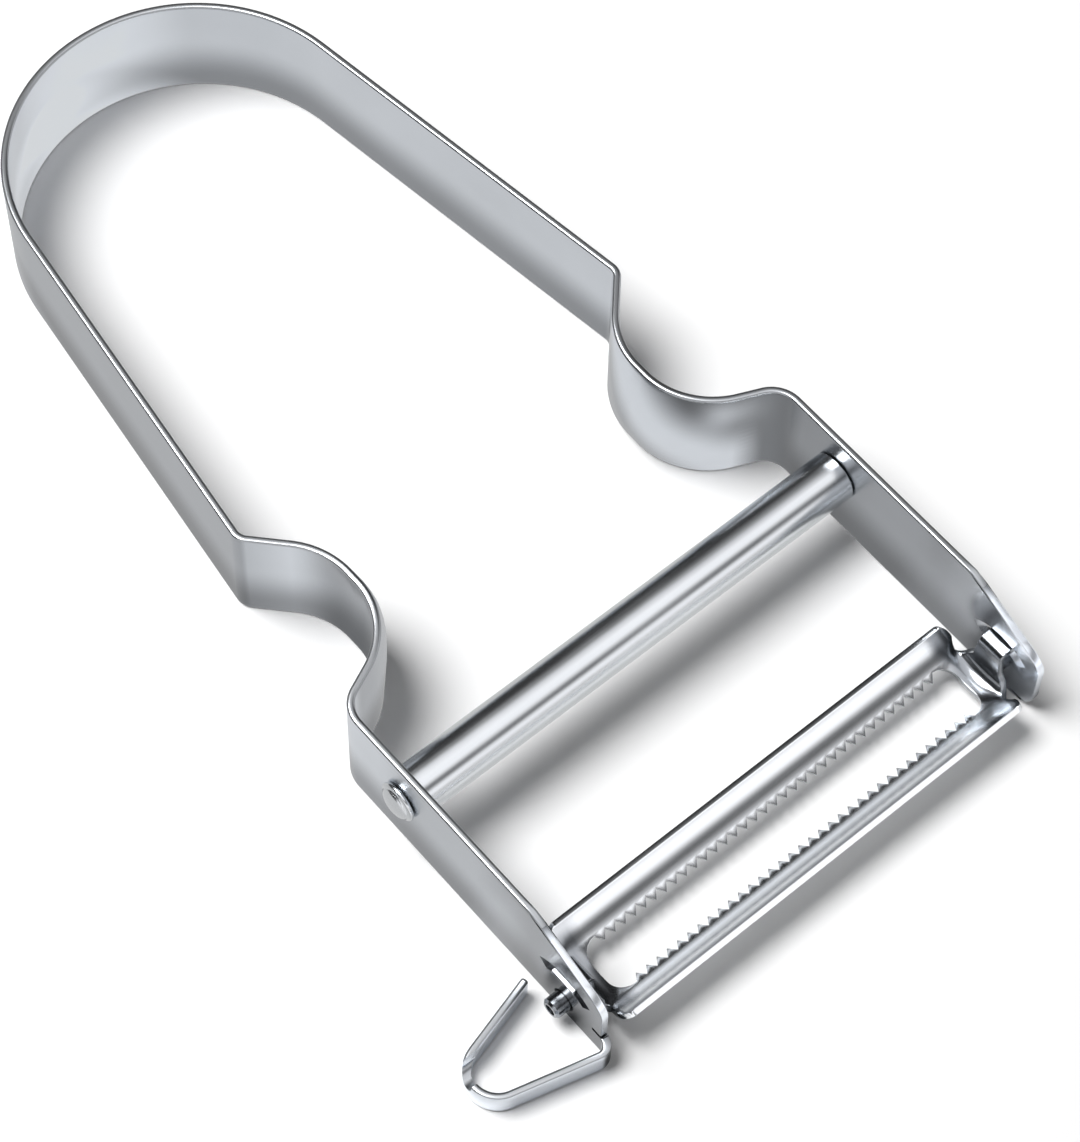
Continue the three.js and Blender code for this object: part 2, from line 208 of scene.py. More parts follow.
run_straight(strip, kink_leg - kink_tangent - notch_tangent)
notch_start = strip["at"].y
bend_round(strip, KINK_LEG_ANGLE, NOTCH_RADIUS, NOTCH_ENTRY_STEPS)
run_straight(strip, NOTCH_FLAT)
bend_round(strip, SHOULDER_ANGLE, NOTCH_RADIUS, NOTCH_EXIT_STEPS)
notch_end = strip["at"].y
run_straight(strip, SHOULDER_RUN)
bend_round(strip, -SHOULDER_ANGLE, SHOULDER_RADIUS, SHOULDER_STEPS)
shoulder_y = strip["at"].y
run_straight(strip, ARM_LENGTH, ARM_STEPS)
tip_y = strip["at"].y
print("arm tip in mm:", [round(value / MM, 3) for value in strip["at"]])

# %% [markdown]
# ## The arm's tip
# The tip is cut on a slope, with a rounded nose. A straight cut is a bisect that throws away what lies
# outside it, and a round convex corner is a fan of such cuts along its tangents.

# %% Cut the slope and the nose
TIP_SLOPE_RUN = 8 * MM
TIP_SLOPE_DROP = 3.7 * MM
TIP_NOSE_LENGTH = 2.2 * MM
TIP_NOSE_DROP = 2.4 * MM
CORNER_CUTS = 10


def trim(place, outwards):
    normal = Vector(outwards).normalized()
    bpy.ops.mesh.bisect(plane_co=place, plane_no=normal, clear_outer=True, threshold=TINY)


slope_end_z = STRIP_WIDTH - TIP_SLOPE_DROP
nose_start = Vector((0, tip_y + TIP_NOSE_LENGTH, slope_end_z))
nose_corner = Vector((0, tip_y, slope_end_z - TIP_NOSE_LENGTH * TIP_SLOPE_DROP / TIP_SLOPE_RUN))
nose_end = Vector((0, tip_y, slope_end_z - TIP_NOSE_DROP))
for cut in range(CORNER_CUTS + 1):
    along = cut / CORNER_CUTS
    first = nose_start.lerp(nose_corner, along)
    second = nose_corner.lerp(nose_end, along)
    edge = second - first
    bpy.ops.mesh.select_all(action="SELECT")
    trim(first.lerp(second, along), (0, edge.z, -edge.y))
print("points after the tip is cut:", len(bmesh.from_edit_mesh(bow.data).verts))

# %% [markdown]
# ## The left half
# The bow is the same on both sides up to the tips, so the left half is a mirrored copy, merged with the
# right one in the middle of the bend. Its normals are made to agree before the sheet gets its thickness.

# %% Mirror the half bow
def finish_with(piece, kind, **settings):
    take_up(piece)
    modifier = piece.modifiers.new(kind.title(), kind)
    for name, value in settings.items():
        setattr(modifier, name, value)
    bpy.ops.object.modifier_apply(modifier=modifier.name)


finish_with(bow, "MIRROR", use_axis=(True, False, False), use_clip=True, merge_threshold=NEAR)
open_up(bow)
bpy.ops.mesh.select_all(action="SELECT")
bpy.ops.mesh.remove_doubles(threshold=NEAR)
bpy.ops.mesh.normals_make_consistent(inside=False)
print("points in both halves:", len(bmesh.from_edit_mesh(bow.data).verts))

# %% [markdown]
# ## The plain right tip and the eye remover on the left
# The right tip's lower corner is rounded off. On the left about the lowest fifth of the strip goes on as a
# narrow tab, which is bent out, round its nose and back to the arm as the loop that scoops out eyes.
# It is drawn out of the arm's own edge, as on the real peeler, so there is no seam.

# %% Round the right corner, then draw out the loop
TIP_BOTTOM_RADIUS = 2.8 * MM
LOOP_ROWS = 4
LOOP_ROOT_RADIUS = 1.2 * MM
LOOP_ROOT_STEPS = 20
LOOP_FRONT_LEG = 8.8 * MM
LOOP_FRONT_RAKE = math.radians(15.4)
LOOP_NOSE_RADIUS = 2.85 * MM
LOOP_NOSE_STEPS = 36
LOOP_REAR_RAKE = math.radians(15)
LOOP_END_GAP = 1.4 * MM


def on_right_arm(face):
    middle = face.calc_center_median()
    return middle.x > 0 and middle.y < shoulder_y


corner_middle = Vector((0, tip_y + TIP_BOTTOM_RADIUS, TIP_BOTTOM_RADIUS))
for cut in range(CORNER_CUTS + 1):
    angle = cut / CORNER_CUTS * math.pi / 2
    outwards = Vector((0, -math.cos(angle), -math.sin(angle)))
    pick(bow, on_right_arm, "FACE")
    trim(corner_middle + outwards * TIP_BOTTOM_RADIUS, outwards)

loop_top = STRIP_WIDTH * LOOP_ROWS / STRIP_ROWS
pick(bow, lambda point: point.co.x < 0 and abs(point.co.y - tip_y) < NEAR
     and point.co.z < loop_top + NEAR)
loop = start_path((middle_x - ARM_HALF_SPAN, tip_y, 0), (1, 0, 0), (0, 1, 0), -math.pi / 2)
bend_round(loop, -math.pi / 2 - LOOP_FRONT_RAKE, LOOP_ROOT_RADIUS, LOOP_ROOT_STEPS)
run_straight(loop, LOOP_FRONT_LEG)
bend_round(loop, LOOP_FRONT_RAKE + LOOP_REAR_RAKE - math.pi, LOOP_NOSE_RADIUS, LOOP_NOSE_STEPS)
arm_outside = middle_x - ARM_HALF_SPAN - STRIP_THICKNESS / 2
run_straight(loop, (arm_outside - LOOP_END_GAP - loop["at"].x) / math.cos(LOOP_REAR_RAKE))
print("loop's free end in mm:", [round(value / MM, 2) for value in loop["at"]])

# %% [markdown]
# ## The finger notches
# At the waist the strip is also pressed hollow across its width, so that a fingertip sits in a shallow
# dish. A vertex group holds how much each point takes part, and a Displace modifier pushes the sheet in.

# %% Press the two notches hollow
NOTCH_HOLLOW = 1.2 * MM

put_down_everything()
dish = bow.vertex_groups.new(name="finger_dish")
notch_middle = (notch_start + notch_end) / 2
notch_half = (notch_start - notch_end) / 2
dished = 0
for vertex in bow.data.vertices:
    beside = abs(vertex.co.y - notch_middle) / notch_half
    if beside < 1:
        across = 2 * vertex.co.z / STRIP_WIDTH - 1
        dish.add([vertex.index], (1 - across ** 2) * math.cos(beside * math.pi / 2) ** 2, "REPLACE")
        dished += 1
waist = min(bow.data.vertices, key=lambda vertex: abs(vertex.co.y - notch_middle))
inwards = -math.copysign(1, waist.normal.x * waist.co.x)
finish_with(bow, "DISPLACE", direction="NORMAL", mid_level=0, strength=inwards * NOTCH_HOLLOW,
            vertex_group="finger_dish")
print("points in the dishes:", dished)

# %% [markdown]
# ## Thickness and rolled edges
# Solidify gives the sheet its 0.8 mm, half to each side of the centre line. Rolled strip has soft edges,
# and they catch the light as a bright and a dark line all along it, so the edges get a rounded bevel.
# The cut tips are crisper: a weight on each edge says how much of the bevel it takes.

# %% Thicken the strip and round its edges
STRIP_EDGE = 0.28 * MM
STRIP_EDGE_STEPS = 4
SHARP_FROM = math.radians(50)
CUT_EDGE_SHARE = 0.3
CUT_EDGE_LOWEST = 0.1 * MM

slope_top_y = tip_y + TIP_SLOPE_RUN


def size_of(piece):
    corners = np.array([vertex.co for vertex in piece.data.vertices])
    low, high = corners.min(0) / MM, corners.max(0) / MM
    return f"{np.round(low, 2)} to {np.round(high, 2)} mm, {len(piece.data.polygons)} faces"


def on_cut_tip(point):
    on_arm = point.y < slope_top_y and point.x > -ARM_HALF_SPAN - STRIP_THICKNESS
    return on_arm and CUT_EDGE_LOWEST < point.z < STRIP_WIDTH - NEAR


finish_with(bow, "SOLIDIFY", thickness=STRIP_THICKNESS, offset=0, use_even_offset=True)
for vertex in bow.data.vertices:
    vertex.co.z = min(max(vertex.co.z, 0), STRIP_WIDTH)
open_up(bow)
bpy.ops.mesh.select_mode(type="EDGE")
bpy.ops.mesh.select_all(action="DESELECT")
bpy.ops.mesh.edges_select_sharp(sharpness=SHARP_FROM)
put_down_everything()
softness = bow.data.attributes.new("bevel_weight_edge", "FLOAT", "EDGE")
for edge in bow.data.edges:
    if edge.select:
        ends = [bow.data.vertices[index].co for index in edge.vertices]
        softness.data[edge.index].value = CUT_EDGE_SHARE if all(map(on_cut_tip, ends)) else 1
finish_with(bow, "BEVEL", width=STRIP_EDGE, segments=STRIP_EDGE_STEPS, limit_method="WEIGHT",
            use_clamp_overlap=False)
take_up(bow)
bpy.ops.object.transform_apply(location=True, rotation=True, scale=True)
print("bow:", size_of(bow))

# %% [markdown]
# ## Holes in the arms
# Each arm has a round hole for the crossbar's tenon and a round hole for the blade's journal. A drill would
# go through both arms in one go, and so does the solid that a Boolean takes away here.

# %% Drill the arms
TENON_HOLE = 1.5 * MM
JOURNAL_HOLE = 1.3 * MM
CUTTER_LENGTH = 80 * MM
HOLE_SIDES = 64

bar_y = (bar_low.y + bar_high.y) / 2
bar_z = (bar_low.z + bar_high.z) / 2
hinge = Vector(frame["joints"][0]["pos_m"])


def cut_with(piece, cutter, operation="DIFFERENCE"):
    finish_with(piece, "BOOLEAN", object=cutter, operation=operation, solver="EXACT")
    bpy.data.objects.remove(cutter, do_unlink=True)


def drill(y, z, radius):
    put_down_everything()
    bpy.ops.mesh.primitive_cylinder_add(
        vertices=HOLE_SIDES, radius=radius, depth=CUTTER_LENGTH, location=(middle_x, y, z),
        rotation=(0, math.pi / 2, 0))
    return bpy.context.object


cut_with(bow, drill(bar_y, bar_z, TENON_HOLE))
cut_with(bow, drill(hinge.y, hinge.z, JOURNAL_HOLE))
print("drilled bow:", size_of(bow))

# %% [markdown]
# ## Windows and a slit
# Above the journal each arm has a curved window in which the blade's stop lug moves. Its solid is a flat
# strip, spun about the hinge, that reaches through both arms. A short slit frees the loop's tab from the
# left arm, so that the tab can be bent.

# %% Cut the windows and the slit
WINDOW_INNER = 3.7 * MM
WINDOW_OUTER = 5.14 * MM
WINDOW_REACH = math.radians(42.8)
WINDOW_STEPS = 40
RELIEF_HEIGHT = 0.5 * MM
RELIEF_DEPTH = 1.2 * MM
RELIEF_ACROSS = 3 * MM


def slot_window():
    put_down_everything()
    bpy.ops.mesh.primitive_plane_add(size=1, location=(0, 0, 0), rotation=(math.pi / 2, 0, 0))
    cutter = bpy.context.object
    cutter.scale = (CUTTER_LENGTH, 1, 1)
    bpy.ops.object.transform_apply(location=True, rotation=True, scale=True)
    open_up(cutter)
    for edge_z, height in ((-0.5, WINDOW_INNER), (0.5, WINDOW_OUTER)):
        pick(cutter, lambda point: abs(point.co.z - edge_z) < NEAR)
        bpy.ops.transform.translate(value=(0, 0, height - edge_z))
    bpy.ops.mesh.select_all(action="SELECT")
    bpy.ops.transform.translate(value=(middle_x, hinge.y, hinge.z))
    bpy.ops.transform.rotate(value=WINDOW_REACH, orient_axis="X", center_override=hinge)
    bpy.ops.mesh.spin(steps=WINDOW_STEPS, angle=-2 * WINDOW_REACH, center=hinge, axis=(1, 0, 0))
    bpy.ops.mesh.select_all(action="SELECT")
    bpy.ops.mesh.normals_make_consistent(inside=False)
    put_down_everything()
    return cutter


def slit_relief():
    put_down_everything()
    bpy.ops.mesh.primitive_cube_add(
        size=1, location=(middle_x - ARM_HALF_SPAN, tip_y, loop_top + RELIEF_HEIGHT / 2),
        scale=(RELIEF_ACROSS, 2 * RELIEF_DEPTH, RELIEF_HEIGHT))
    return bpy.context.object


for cutter in (slot_window(), slit_relief()):
    print("cutter:", size_of(cutter))
    cut_with(bow, cutter)
print("bow with all its openings:", size_of(bow))

# %% [markdown]
# ## Smooth faces, and dull edges painted darker
# Gentle bends are shaded smooth and hard edges stay hard. The narrow edges of rolled strip are a little
# rougher than its faces and are painted darker, a painted shade that dims their mirrored highlights, so a
# face attribute marks them for the material.

# %% Smooth the bow
RIM_FACING_UP = 0.25
EDGE_FACING_UP = 0.6


def smooth(piece, sharp_from):
    take_up(piece)
    bpy.ops.object.shade_smooth_by_angle(angle=math.radians(sharp_from))
    finish_with(piece, "WEIGHTED_NORMAL", mode="FACE_AREA", weight=50, keep_sharp=True)


smooth(bow, sharp_from=35)
# marks the narrow edges, which are made a little rougher and painted darker to dim their mirrored highlights
dull = bow.data.attributes.new("marked", "FLOAT", "FACE")
edges = 0
for face in bow.data.polygons:
    upright = abs(face.normal.z)
    rim = min(face.center.z, STRIP_WIDTH - face.center.z) < STRIP_EDGE and upright > RIM_FACING_UP
    cut_tip = face.center.y < slope_top_y and face.center.x > arm_outside and face.center.z > loop_top
    if (rim or upright > EDGE_FACING_UP) and not cut_tip:
        dull.data[face.index].value = 1
        edges += 1
print("dull edge faces:", edges)
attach(bow, "frame")
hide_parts("bow_frame")
print("bow:", size_of(bow))

# %% [markdown]
# ## The crossbar
# The rod is turned, so it is made as on a lathe: a ring of points on the axis is pushed along and resized
# from step to step. At each end a tenon goes through the arm and is peened over as a two-step head.

# %% Turn the rod
BAR_SIDES = 128
BAR_RADIUS = 2.65 * MM
TENON_RADIUS = 1.4 * MM
SEAT_CLEARANCE = 0.1 * MM
COLLAR_RADIUS = 2.15 * MM
COLLAR_HEIGHT = 0.5 * MM
CAP_RADIUS = 1.8 * MM
CAP_HEIGHT = 0.7 * MM
DOME_STEPS = 8
DOME_FLAT_TOP = 0.35
BAR_END_ROUND = 0.15 * MM
BAR_EDGE = 0.22 * MM


def turn_on_lathe(name, profile, y, z, sides):
    put_down_everything()
    (first_x, first_radius), *steps = profile
    bpy.ops.mesh.primitive_circle_add(
        vertices=sides, radius=first_radius, location=(first_x, y, z), rotation=(0, math.pi / 2, 0))
    piece = bpy.context.object
    piece.name = name
    bpy.ops.object.transform_apply(location=True, rotation=True, scale=True)
    open_up(piece)
    bpy.ops.mesh.select_all(action="SELECT")
    x, radius = first_x, first_radius
    for next_x, next_radius in steps:
        bpy.ops.mesh.extrude_region_move(TRANSFORM_OT_translate={"value": (next_x - x, 0, 0)})
        grow = next_radius / radius
        bpy.ops.transform.resize(value=(1, grow, grow), center_override=(next_x, y, z))
        x, radius = next_x, next_radius
    for end_x in (first_x, x):
        pick(piece, lambda point: abs(point.co.x - end_x) < TINY)
        bpy.ops.mesh.edge_face_add()
    bpy.ops.mesh.select_all(action="SELECT")
    bpy.ops.mesh.normals_make_consistent(inside=False)
    put_down_everything()
    return piece


arm_inside = ARM_HALF_SPAN - STRIP_THICKNESS / 2
arm_face = ARM_HALF_SPAN + STRIP_THICKNESS / 2
collar_x = arm_face + SEAT_CLEARANCE
cap_x = collar_x + COLLAR_HEIGHT
seat_x = arm_inside - SEAT_CLEARANCE
right_end = []
for step in range(DOME_STEPS + 1):
    angle = step / DOME_STEPS * math.pi / 2
    right_end.append((seat_x - BAR_END_ROUND * (1 - math.sin(angle)),
                      BAR_RADIUS - BAR_END_ROUND * (1 - math.cos(angle))))
right_end += [
    (seat_x, TENON_RADIUS),
    (collar_x, TENON_RADIUS), (collar_x, COLLAR_RADIUS), (cap_x, COLLAR_RADIUS), (cap_x, CAP_RADIUS)]
for step in range(1, DOME_STEPS + 1):
    angle = step / (DOME_STEPS + DOME_FLAT_TOP) * math.pi / 2
    right_end.append((cap_x + CAP_HEIGHT * math.sin(angle), CAP_RADIUS * math.cos(angle)))
left_end = [(-x, radius) for x, radius in reversed(right_end)]
profile = [(middle_x + x, radius) for x, radius in left_end + right_end]
bar = turn_on_lathe("crossbar_rod", profile, bar_y, bar_z, BAR_SIDES)
finish_with(bar, "BEVEL", width=BAR_EDGE, segments=3, limit_method="ANGLE", angle_limit=math.radians(60),
            use_clamp_overlap=False)
smooth(bar, sharp_from=40)
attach(bar, "frame")
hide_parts("crossbar")
print("crossbar:", size_of(bar))

# %% [markdown]
# ## The blade's blank
# The real blade starts as a flat blank that is stamped out with its toothed slot and then rolled to a
# gutter. The model follows that order: the outline is cut flat, the teeth are cut flat, and only then is
# the sheet rolled, so every tooth lies in the curve of the gutter.

# %% Cut out the flat blank
BLADE_HALF_LENGTH = 25.1 * MM
BLADE_HALF_WIDTH = 5.75 * MM
BLADE_SHEET = 0.6 * MM
BLADE_CORNER = 1.2 * MM
BLADE_COLUMNS = 80
BLADE_ROWS = 56
NECK_HALF_WIDTH = 3.6 * MM
# the length in mm and the narrowing of each step that draws out a neck
NECK_STEPS = 10 * ((0.2, 0.935),) + 3 * ((0.82, 0.95),) + 8 * ((0.12, 1.0),) + ((1.69, 1.0),)

put_down_everything()
bpy.ops.mesh.primitive_grid_add(
    x_subdivisions=BLADE_COLUMNS, y_subdivisions=BLADE_ROWS, size=1, location=(0, 0, 0))
blade = bpy.context.object
blade.name = "toothed_blade"
blade.scale = (2 * BLADE_HALF_LENGTH, 2 * BLADE_HALF_WIDTH, 1)
bpy.ops.object.transform_apply(location=True, rotation=True, scale=True)
open_up(blade)
for side_x in (1, -1):
    for side_y in (1, -1):
        middle = Vector((side_x * (BLADE_HALF_LENGTH - BLADE_CORNER),
                         side_y * (BLADE_HALF_WIDTH - BLADE_CORNER), 0))
        for cut in range(1, CORNER_CUTS):
            angle = cut / CORNER_CUTS * math.pi / 2
            outwards = Vector((side_x * math.cos(angle), side_y * math.sin(angle), 0))
            bpy.ops.mesh.select_all(action="SELECT")
            trim(middle + outwards * BLADE_CORNER, outwards)
for side_x in (1, -1):
    pick(blade, lambda point: abs(point.co.x - side_x * BLADE_HALF_LENGTH) < NEAR
         and abs(point.co.y) < NECK_HALF_WIDTH)
    for length, narrowing in NECK_STEPS:
        bpy.ops.mesh.extrude_region_move(TRANSFORM_OT_translate={"value": (side_x * length * MM, 0, 0)})
        bpy.ops.transform.resize(value=(1, narrowing, 1), center_override=(0, 0, 0))
put_down_everything()
print("flat blank:", size_of(blade))

# %% [markdown]
# ## The slot and its teeth
# A stamp cuts the slot and its teeth in one stroke. A Boolean would do the same here, but it leaves ragged
# faces, and bright steel shows them. So the blank's grid has two columns to a tooth: the slot is a block of
# deleted faces with its corners drawn in to an arc, its long sides are extruded by the depth of a tooth,
# and every second new point is moved back and merged, which leaves a row of points.

# %% Open the slot and draw out the teeth
SLOT_COLUMNS = 37
SLOT_ROWS = 15
TEETH = 34
TOOTH_DEPTH = 0.9 * MM

half_pitch = 2 * BLADE_HALF_LENGTH / BLADE_COLUMNS
slot_end = SLOT_COLUMNS * half_pitch
slot_root = SLOT_ROWS * 2 * BLADE_HALF_WIDTH / BLADE_ROWS
row_half = TEETH * half_pitch
slot_corner = slot_end - row_half

open_up(blade)
pick(blade, lambda face: abs(face.calc_center_median().x) < slot_end
     and abs(face.calc_center_median().y) < slot_root, "FACE")
bpy.ops.mesh.delete(type="FACE")
mesh = bmesh.from_edit_mesh(blade.data)
for point in mesh.verts:
    beyond = Vector((abs(point.co.x) - row_half, abs(point.co.y) - (slot_root - slot_corner)))
    in_corner = min(beyond) > NEAR and max(beyond) < slot_corner + NEAR
    if in_corner and point.is_boundary:
        arc = beyond.normalized() * slot_corner
        point.co.x = math.copysign(row_half + arc.x, point.co.x)
        point.co.y = math.copysign(slot_root - slot_corner + arc.y, point.co.y)
bmesh.update_edit_mesh(blade.data)


def on_tooth_line(point, side_y, depth):
    return abs(point.co.y - side_y * (slot_root - depth)) < NEAR and abs(point.co.x) < row_half + NEAR


for side_y in (1, -1):
    pick(blade, lambda edge: edge.is_boundary and all(on_tooth_line(end, side_y, 0) for end in edge.verts),
         "EDGE")
    bpy.ops.mesh.extrude_region_move(TRANSFORM_OT_translate={"value": (0, -side_y * TOOTH_DEPTH, 0)})
    pick(blade, lambda point: on_tooth_line(point, side_y, TOOTH_DEPTH)
         and round((point.co.x + row_half) / half_pitch) % 2 == 0)
    bpy.ops.transform.translate(value=(0, side_y * TOOTH_DEPTH, 0))
bpy.ops.mesh.select_all(action="SELECT")
bpy.ops.mesh.remove_doubles(threshold=TINY)
bpy.ops.mesh.normals_make_consistent(inside=False)
put_down_everything()
print("toothed blank:", size_of(blade))

# %% [markdown]
# ## Thickness, ground tips and slanted edges
# The sheet gets its thickness while it is still flat. The teeth are then ground thin from below, so they end
# in a fine point and not in a blunt wall, and the long outer edges are cut at a slight slant.

# %% Thicken and grind the blank
GRIND = 0.42 * MM
EDGE_SLANT = 0.1 * MM
BLADE_EDGE = 0.05 * MM

finish_with(blade, "SOLIDIFY", thickness=BLADE_SHEET, offset=0, use_even_offset=True)
ground = 0
for vertex in blade.data.vertices:
    at_tip = abs(vertex.co.y) < slot_root - TOOTH_DEPTH + NEAR and abs(vertex.co.x) < row_half
    if at_tip and vertex.co.z < 0:
        vertex.co.z += GRIND
        ground += 1
    if abs(vertex.co.y) > BLADE_HALF_WIDTH - NEAR and vertex.co.z > 0:
        vertex.co.y -= math.copysign(EDGE_SLANT, vertex.co.y)
finish_with(blade, "BEVEL", width=BLADE_EDGE, segments=2, limit_method="ANGLE",
            angle_limit=math.radians(55), use_clamp_overlap=False)
print("ground blank:", size_of(blade), "tips ground:", ground)

# %% [markdown]
# ## Rolling
# Rolling wraps the flat sheet round a cylinder that lies along the blade. A Bend deform would stretch the
# blank's outline, so each point is moved by the rule itself: its distance from the middle becomes an
# angle, and its height in the sheet becomes a distance from the cylinder's axis.

# %% Roll the blade to a gutter
GUTTER_RADIUS = 7.1 * MM
GUTTER_BOTTOM = -0.95 * MM

flat = np.array([vertex.co for vertex in blade.data.vertices])
angle = np.arcsin(flat[:, 1] / GUTTER_RADIUS)
reach = GUTTER_RADIUS - flat[:, 2]
rolled = np.column_stack((
    flat[:, 0] + hinge.x,
    reach * np.sin(angle) + hinge.y,
    hinge.z + GUTTER_BOTTOM + GUTTER_RADIUS - reach * np.cos(angle)))
blade.data.vertices.foreach_set("co", rolled.ravel())
blade.data.update()
print("rolled blade:", size_of(blade))

# %% [markdown]
# ## Ears and lugs
# The tongue at each end is folded like paper: up into an ear beside the arm, then out through the arm's
# window as the stop lug. Each point's distance along the tongue says how far round the two bends it is.

# %% Fold up the ears
FOLD_START = 24 * MM
EAR_RADIUS = 1.6 * MM
LUG_RADIUS = 0.6 * MM
LUG_HEIGHT = 4.3 * MM
FOLD_FULL = 2.6 * MM
FOLD_NONE = 4.4 * MM

ear_arc = EAR_RADIUS * math.pi / 2
ear_rise = LUG_HEIGHT - GUTTER_BOTTOM - EAR_RADIUS - LUG_RADIUS
lug_arc = LUG_RADIUS * math.pi / 2


def ramp(value, start, end):
    return min(1, max(0, (value - start) / (end - start)))


def fold(along, off):
    if along < ear_arc:
        turn = along / EAR_RADIUS
        return (EAR_RADIUS - off) * math.sin(turn), EAR_RADIUS - (EAR_RADIUS - off) * math.cos(turn)
    along -= ear_arc
    if along < ear_rise:
        return EAR_RADIUS - off, EAR_RADIUS + along
    along -= ear_rise
    if along < lug_arc:
        turn = along / LUG_RADIUS
        return (EAR_RADIUS + LUG_RADIUS - (LUG_RADIUS + off) * math.cos(turn),
                EAR_RADIUS + ear_rise + (LUG_RADIUS + off) * math.sin(turn))
    return EAR_RADIUS + LUG_RADIUS + along - lug_arc, EAR_RADIUS + ear_rise + LUG_RADIUS + off


for vertex in blade.data.vertices:
    past = abs(vertex.co.x - hinge.x) - FOLD_START
    if past > 0:
        from_axis = abs(vertex.co.y - hinge.y)
        share = ramp(from_axis, FOLD_NONE, FOLD_FULL)
        height = vertex.co.z - hinge.z - GUTTER_BOTTOM
        rise = GUTTER_RADIUS - math.sqrt(GUTTER_RADIUS ** 2 - from_axis ** 2)
        off = height - rise * share * min(1, past / ear_arc)
        out, up = fold(past * share, off)
        vertex.co.x = hinge.x + math.copysign(FOLD_START + out + past * (1 - share), vertex.co.x - hinge.x)
        vertex.co.z = hinge.z + GUTTER_BOTTOM + up
blade.data.update()
print("folded blade:", size_of(blade))

# %% [markdown]
# ## Journals
# Behind each ear a journal turns in the arm's hole. It is turned like the crossbar, with a small pit in
# its end, and joined to the blade, because it moves with it.

# %% Add the journals
JOURNAL_SIDES = 48
JOURNAL_RADIUS = 1.1 * MM
JOURNAL_ROOT = 25.65 * MM
JOURNAL_REACH = 1.65 * MM
JOURNAL_EDGE = 0.25 * MM
PIT_RADIUS = 0.6 * MM
PIT_BOTTOM_RADIUS = 0.55 * MM
PIT_DEPTH = 0.8 * MM


def turn_journal(side):
    end = arm_face + JOURNAL_REACH
    shape = [(JOURNAL_ROOT, JOURNAL_RADIUS - JOURNAL_EDGE), (JOURNAL_ROOT + JOURNAL_EDGE, JOURNAL_RADIUS),
             (end - JOURNAL_EDGE, JOURNAL_RADIUS), (end, JOURNAL_RADIUS - JOURNAL_EDGE),
             (end, PIT_RADIUS), (end - PIT_DEPTH, PIT_BOTTOM_RADIUS)]
    return turn_on_lathe("journal", [(hinge.x + side * x, radius) for x, radius in shape],
                         hinge.y, hinge.z, JOURNAL_SIDES)


for side in (1, -1):
    cut_with(blade, turn_journal(side), "UNION")
smooth(blade, sharp_from=30)
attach(blade, "blade")
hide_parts("blade")
print("blade:", size_of(blade))

# %% [markdown]
# ## The blade's painted dark parts
# The blade's two ends and the rim of its front bar are painted darker than the rest, as painted dark
# reflections of the shade they mirror.
# A number on each point marks them for the material, and it rises from 0 to 1 without a step, because a
# mark on whole faces would end in a hard line.

# %% Mark the blade's ends and its front rim
# painted dark reflections on the blade's ends and on its front rim
PAINTED_DARK_END = (22 * MM, 23.3 * MM)
PAINTED_DARK_END_SIDES = (5.6 * MM, 4.1 * MM)
PAINTED_DARK_RIM = (4.64 * MM, 5.04 * MM)
RIM_FACING = 0.2

marks = blade.data.attributes.new("marked", "FLOAT", "POINT")
for vertex in blade.data.vertices:
    along = abs(vertex.co.x - hinge.x)
    forwards = hinge.y - vertex.co.y
    at_end = ramp(along, *PAINTED_DARK_END) * ramp(abs(forwards), *PAINTED_DARK_END_SIDES)
    at_rim = ramp(forwards, *PAINTED_DARK_RIM) if vertex.normal.y > RIM_FACING else 0
    marks.data[vertex.index].value = max(at_end, at_rim)
print("marked points of the blade:", sum(mark.value > 0 for mark in marks.data))

# %% [markdown]
# ## Painted light and shade
# The strip's own reflections are partly painted into its colour as light and shade. A number on each point
# will hold how much brighter or darker than the rest it is painted. It could be painted with a brush. Here
# it is worked out from stops, each a place in millimetres and the tone there, with smooth changes between
# them. Two plain painted shades come first: the strip is painted darker towards the table and towards the
# blade.

# %% Shade the strip's foot and its front
# painted shade: darker towards the table and on the arms towards the blade
FRONT_SHADE = ((0, 1, 0), (-24 * MM, -6 * MM), (0.65, 1.0))
TABLE_SHADE = ((0, 0, 1), (1.5 * MM, 8 * MM), (0.45, 1.0))


def ease(value, start, end):
    share = ramp(value, start, end)
    return share * share * (3 - 2 * share)


def tone_at(place, stops):
    tone = stops[0][1]
    for (start, before), (end, after) in zip(stops, stops[1:]):
        tone += (after - before) * ease(place, start, end)
    return tone


def painted_shade_at(point):
    painted_shade = 1
    for towards, (start, end), (least, most) in (FRONT_SHADE, TABLE_SHADE):
        painted_shade *= tone_at(point.dot(Vector(towards)), ((start, least), (end, most)))
    return painted_shade


print("darkest share of the tint:", round(painted_shade_at(Vector((0, tip_y, 0))), 3))

# %% [markdown]
# ## The right side's painted light and shade
# In the right notch a painted reflection, a bright streak, runs aslant, and a small painted highlight, a
# bright cup, sits above the shoulder's painted shade. The arm is painted a little darker than the handle,
# and its tip is painted bright. In the notch the tones are meant as they are, so they are divided by the
# plain painted shades, which come on top later.

# %% Work out the right side's tones
# painted reflections, highlights and shade in the right notch, on the arm and at its tip
RIGHT_NOTCH_SHARE = ((1, 0), (4, 1), (20, 1), (23, 0))
STREAK = ((11, 0.52), (18, 1.17), (20, 1.17), (27, 0.22))
RIGHT_SHOULDER = (17.5, 19)
RIGHT_SHOULDER_TONE = 0.32
CUP_TONE = 0.6
CUP_DOWN, CUP_HEIGHT = 17, 10.5
CUP_LENGTH, CUP_WIDTH = 1.3, 2.5
RIGHT_ARM = ((19, 1), (22, 0.65), (24, 0.65), (34, 0.8), (39, 0.8), (43, 0.6))
RIGHT_TIP = ((49.5, 1), (52.5, 3.2))


